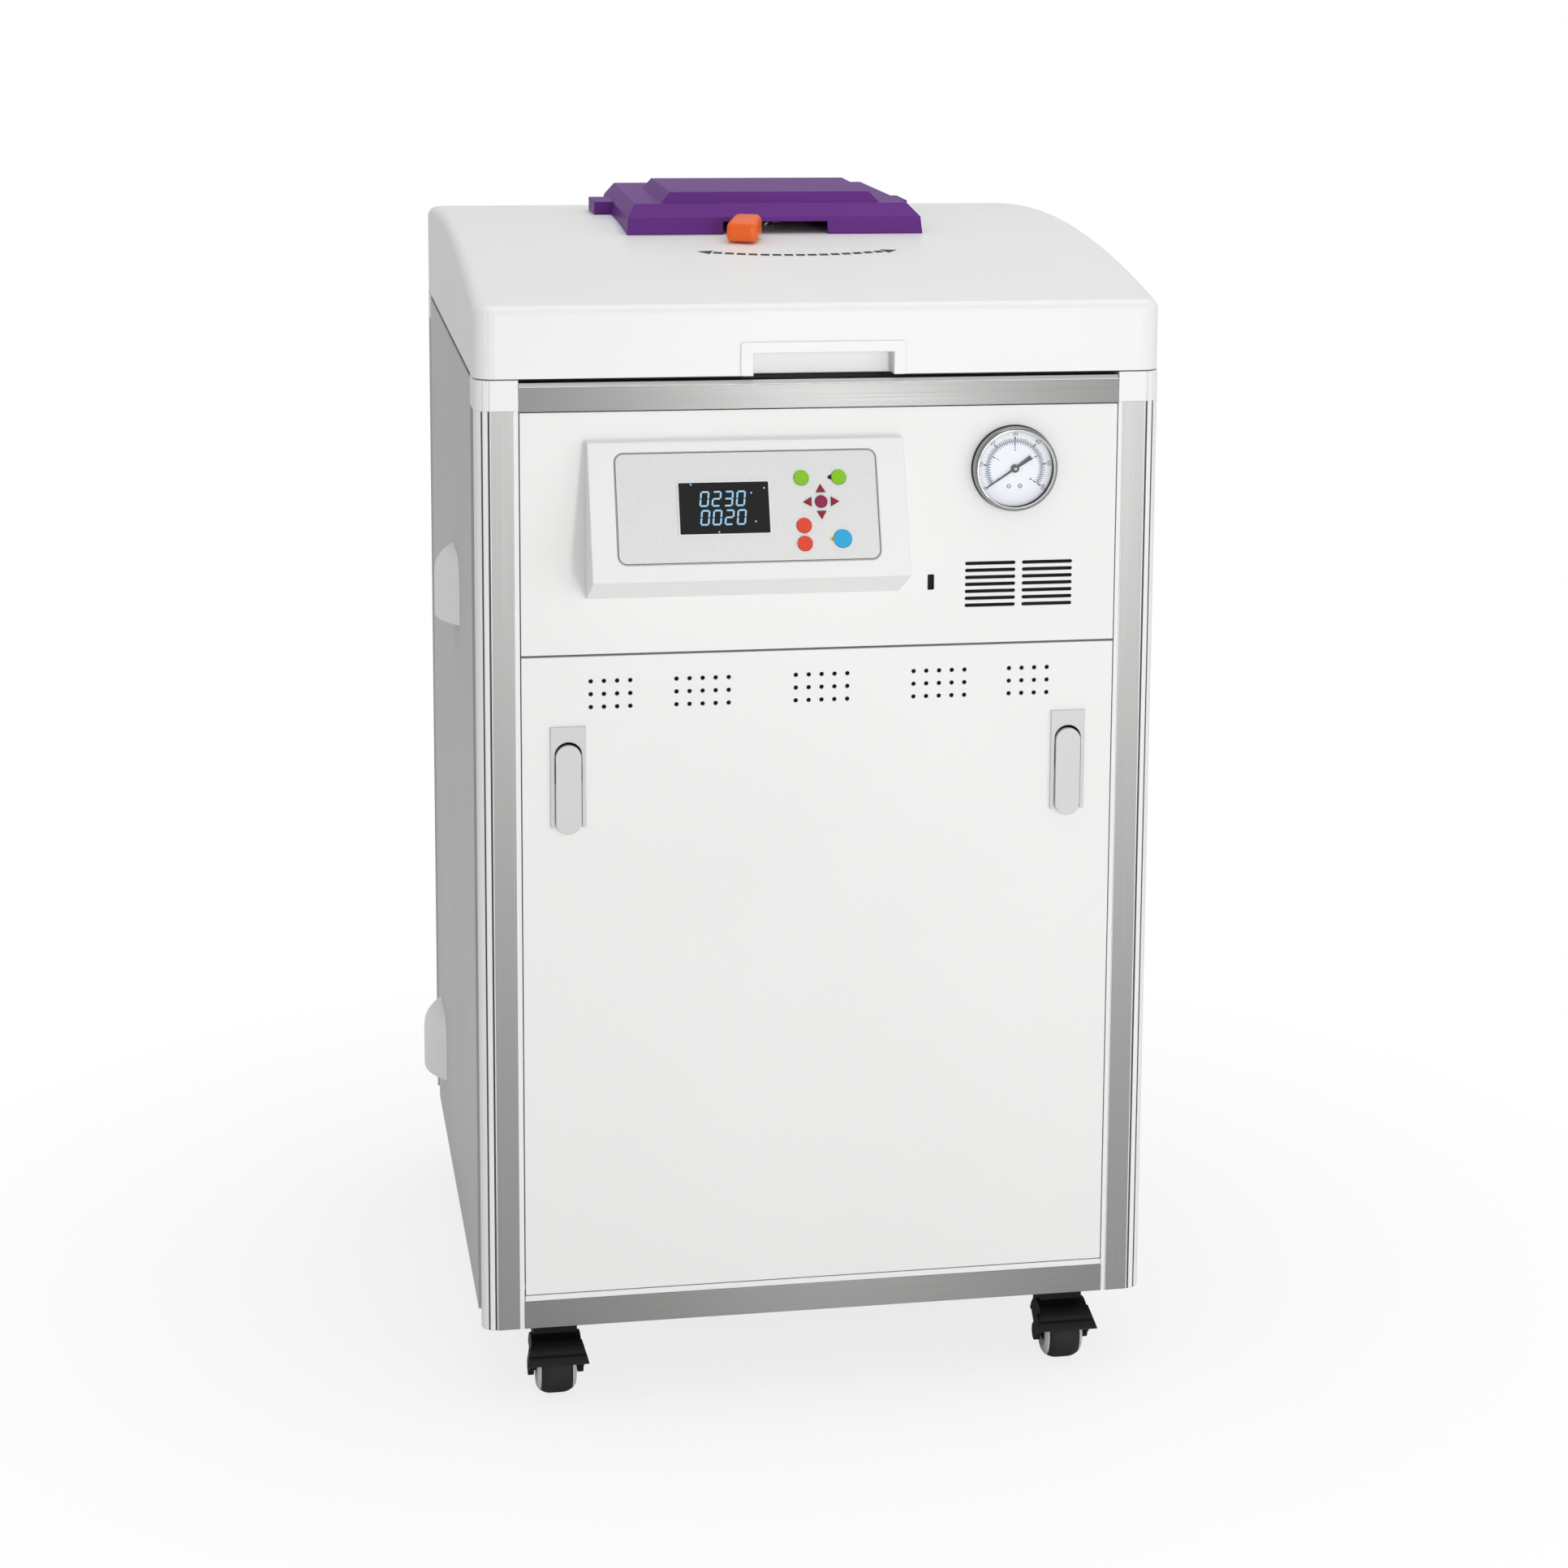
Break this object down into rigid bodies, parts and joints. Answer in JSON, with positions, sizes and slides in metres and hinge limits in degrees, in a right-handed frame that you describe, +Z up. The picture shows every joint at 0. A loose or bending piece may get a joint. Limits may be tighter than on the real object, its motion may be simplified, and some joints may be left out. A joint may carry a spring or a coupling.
{
  "type": "vertical autoclave",
  "caption": "Top-loading vertical autoclave in a cabinet on casters, with an arched hinged lid, a sliding lock lever, a sloping control console and a pressure gauge.",
  "frame": {"origin": "on the floor under the middle of the overall box", "axes": "+X to the right seen from the front, +Y to the rear, +Z up; the front with the console faces -Y"},
  "size_m": [0.6498, 0.7864, 1.073],
  "materials": {
    "cabinet_paint": "white powder coat",
    "side_paint": "pale grey powder coat",
    "frame_paint": "grey primer",
    "post_metal": "satin lacquered extrusion",
    "white_moulding": "fine grained moulding",
    "keypad_foil": "printed silver front plate",
    "bright_steel": "bright plated steel",
    "dial_paint": "white enamel",
    "needle_paint": "black paint",
    "clear_glass": "clear",
    "stainless": "brushed stainless",
    "insulation": "glass fibre felt",
    "heater_sheath": "heat darkened sheath",
    "pipe_brass": "plain brass",
    "bottle_plastic": "milky polyethylene",
    "black_plastic": "fine grained black",
    "lock_purple": "purple moulding",
    "knob_orange": "orange moulding",
    "gasket_rubber": "silicone rubber",
    "latch_grey": "grey moulding",
    "wheel_rubber": "grey thermoplastic tread",
    "key_green": "printed green key",
    "key_red": "printed red key",
    "key_dark_red": "printed dark red key",
    "key_blue": "printed blue key"
  },
  "bodies": {
    "cabinet": {"base_frame": "frame_paint", "deck_frame": "frame_paint", "corner_posts": "post_metal", "corner_caps": "white_moulding", "front_rails": "post_metal", "side_panels": "side_paint", "vent_hoods": "white_moulding", "rear_panel": "side_paint", "top_deck": "cabinet_paint", "control_panel": "cabinet_paint", "control_console": "white_moulding", "keypad_plate": "keypad_foil", "gauge_case": "bright_steel", "gauge_dial": "dial_paint", "gauge_lens": "clear_glass", "chamber": "stainless", "insulation_jacket": "insulation", "heater": "heater_sheath", "heater_guard": "stainless", "basket": "stainless", "pipework": "pipe_brass", "exhaust_bottle": "bottle_plastic", "cable_gland": "black_plastic", "chamber_flange": "stainless", "caster_plates": "bright_steel"},
    "lid": {"lid_hood": "white_moulding", "hood_handle": "white_moulding", "lid_frame": "frame_paint", "door_plate": "stainless", "door_gasket": "gasket_rubber", "lock_cover": "lock_purple"},
    "lever": {"lock_lever": "stainless", "lever_knob": "knob_orange"},
    "bolt_left": {"lock_bolt_left": "stainless"},
    "bolt_right": {"lock_bolt_right": "stainless"},
    "service_panel": {"front_panel": "cabinet_paint", "latch_plates": "latch_grey"},
    "paddle_left": {"latch_paddle_left": "latch_grey"},
    "paddle_right": {"latch_paddle_right": "latch_grey"},
    "needle": {"gauge_needle": "needle_paint"},
    "key_green_left": {"key_green_left": "key_green"},
    "key_green_right": {"key_green_right": "key_green"},
    "key_up": {"key_up": "key_dark_red"},
    "key_down": {"key_down": "key_dark_red"},
    "key_left": {"key_left": "key_dark_red"},
    "key_right": {"key_right": "key_dark_red"},
    "key_centre": {"key_centre": "key_dark_red"},
    "key_red_upper": {"key_red_upper": "key_red"},
    "key_red_lower": {"key_red_lower": "key_red"},
    "key_blue": {"key_blue": "key_blue"},
    "fork_fl": {"caster_fork_fl": "black_plastic"},
    "wheel_fl": {"caster_wheel_fl": "wheel_rubber"},
    "fork_fr": {"caster_fork_fr": "black_plastic"},
    "wheel_fr": {"caster_wheel_fr": "wheel_rubber"},
    "fork_rl": {"caster_fork_rl": "black_plastic"},
    "wheel_rl": {"caster_wheel_rl": "wheel_rubber"},
    "fork_rr": {"caster_fork_rr": "black_plastic"},
    "wheel_rr": {"caster_wheel_rr": "wheel_rubber"},
    "pedal_fl": {"brake_pedal_fl": "black_plastic"},
    "pedal_fr": {"brake_pedal_fr": "black_plastic"}
  },
  "joints": [
    {"name": "lid_hinge", "type": "hinge", "parent": "cabinet", "child": "lid", "pos_m": [0, 0.36723, 0.9425], "axis": [-1, 0, 0], "range_deg": [0, 75]},
    {"name": "lock_turn", "type": "hinge", "parent": "lid", "child": "lever", "pos_m": [0, 0.02523, 1.043], "axis": [0, 0, 1], "range_deg": [0, 35]},
    {"name": "bolt_right_slide", "type": "slide", "parent": "lid", "child": "bolt_right", "axis": [1, 0, 0], "range_m": [0, 0.0146]},
    {"name": "bolt_left_slide", "type": "slide", "parent": "lid", "child": "bolt_left", "axis": [-1, 0, 0], "range_m": [0, 0.0146]},
    {"name": "service_panel_tilt", "type": "hinge", "parent": "cabinet", "child": "service_panel", "pos_m": [0, -0.32777, 0.114], "axis": [1, 0, 0], "range_deg": [0, 25]},
    {"name": "latch_left", "type": "hinge", "parent": "service_panel", "child": "paddle_left", "pos_m": [-0.2255, -0.33177, 0.605], "axis": [-1, 0, 0], "range_deg": [0, 35], "stiffness_Nm_per_rad": 0.1},
    {"name": "latch_right", "type": "hinge", "parent": "service_panel", "child": "paddle_right", "pos_m": [0.2255, -0.33177, 0.605], "axis": [-1, 0, 0], "range_deg": [0, 35], "stiffness_Nm_per_rad": 0.1},
    {"name": "key_green_left_press", "type": "slide", "parent": "cabinet", "child": "key_green_left", "axis": [0, 0.9272, -0.3746], "range_m": [0, 0.001], "stiffness_N_per_m": 300},
    {"name": "key_green_right_press", "type": "slide", "parent": "cabinet", "child": "key_green_right", "axis": [0, 0.9272, -0.3746], "range_m": [0, 0.001], "stiffness_N_per_m": 300},
    {"name": "key_up_press", "type": "slide", "parent": "cabinet", "child": "key_up", "axis": [0, 0.9272, -0.3746], "range_m": [0, 0.001], "stiffness_N_per_m": 300},
    {"name": "key_down_press", "type": "slide", "parent": "cabinet", "child": "key_down", "axis": [0, 0.9272, -0.3746], "range_m": [0, 0.001], "stiffness_N_per_m": 300},
    {"name": "key_left_press", "type": "slide", "parent": "cabinet", "child": "key_left", "axis": [0, 0.9272, -0.3746], "range_m": [0, 0.001], "stiffness_N_per_m": 300},
    {"name": "key_right_press", "type": "slide", "parent": "cabinet", "child": "key_right", "axis": [0, 0.9272, -0.3746], "range_m": [0, 0.001], "stiffness_N_per_m": 300},
    {"name": "key_centre_press", "type": "slide", "parent": "cabinet", "child": "key_centre", "axis": [0, 0.9272, -0.3746], "range_m": [0, 0.001], "stiffness_N_per_m": 300},
    {"name": "key_red_upper_press", "type": "slide", "parent": "cabinet", "child": "key_red_upper", "axis": [0, 0.9272, -0.3746], "range_m": [0, 0.001], "stiffness_N_per_m": 300},
    {"name": "key_red_lower_press", "type": "slide", "parent": "cabinet", "child": "key_red_lower", "axis": [0, 0.9272, -0.3746], "range_m": [0, 0.001], "stiffness_N_per_m": 300},
    {"name": "key_blue_press", "type": "slide", "parent": "cabinet", "child": "key_blue", "axis": [0, 0.9272, -0.3746], "range_m": [0, 0.001], "stiffness_N_per_m": 300},
    {"name": "gauge_turn", "type": "hinge", "parent": "cabinet", "child": "needle", "pos_m": [0.172, -0.33877, 0.855], "axis": [0, 1, 0], "range_deg": [0, 248], "stiffness_Nm_per_rad": 0.004},
    {"name": "swivel_fl", "type": "hinge", "parent": "cabinet", "child": "fork_fl", "pos_m": [-0.237, -0.27477, 0.056], "axis": [0, 0, 1], "continuous": true},
    {"name": "roll_fl", "type": "hinge", "parent": "fork_fl", "child": "wheel_fl", "pos_m": [-0.237, -0.29977, 0.025], "axis": [1, 0, 0], "continuous": true},
    {"name": "brake_fl", "type": "hinge", "parent": "fork_fl", "child": "pedal_fl", "pos_m": [-0.237, -0.29977, 0.025], "axis": [1, 0, 0], "range_deg": [0, 15]},
    {"name": "swivel_fr", "type": "hinge", "parent": "cabinet", "child": "fork_fr", "pos_m": [0.237, -0.27477, 0.056], "axis": [0, 0, 1], "continuous": true},
    {"name": "roll_fr", "type": "hinge", "parent": "fork_fr", "child": "wheel_fr", "pos_m": [0.237, -0.29977, 0.025], "axis": [1, 0, 0], "continuous": true},
    {"name": "brake_fr", "type": "hinge", "parent": "fork_fr", "child": "pedal_fr", "pos_m": [0.237, -0.29977, 0.025], "axis": [1, 0, 0], "range_deg": [0, 15]},
    {"name": "swivel_rl", "type": "hinge", "parent": "cabinet", "child": "fork_rl", "pos_m": [-0.237, 0.29523, 0.056], "axis": [0, 0, 1], "continuous": true},
    {"name": "roll_rl", "type": "hinge", "parent": "fork_rl", "child": "wheel_rl", "pos_m": [-0.237, 0.27023, 0.025], "axis": [1, 0, 0], "continuous": true},
    {"name": "swivel_rr", "type": "hinge", "parent": "cabinet", "child": "fork_rr", "pos_m": [0.237, 0.29523, 0.056], "axis": [0, 0, 1], "continuous": true},
    {"name": "roll_rr", "type": "hinge", "parent": "fork_rr", "child": "wheel_rr", "pos_m": [0.237, 0.27023, 0.025], "axis": [1, 0, 0], "continuous": true}
  ],
  "couplings": [
    {"joint": "bolt_right_slide", "follows": "lock_turn", "m_per_rad": 0.023629},
    {"joint": "bolt_left_slide", "follows": "lock_turn", "m_per_rad": 0.023629}
  ]
}
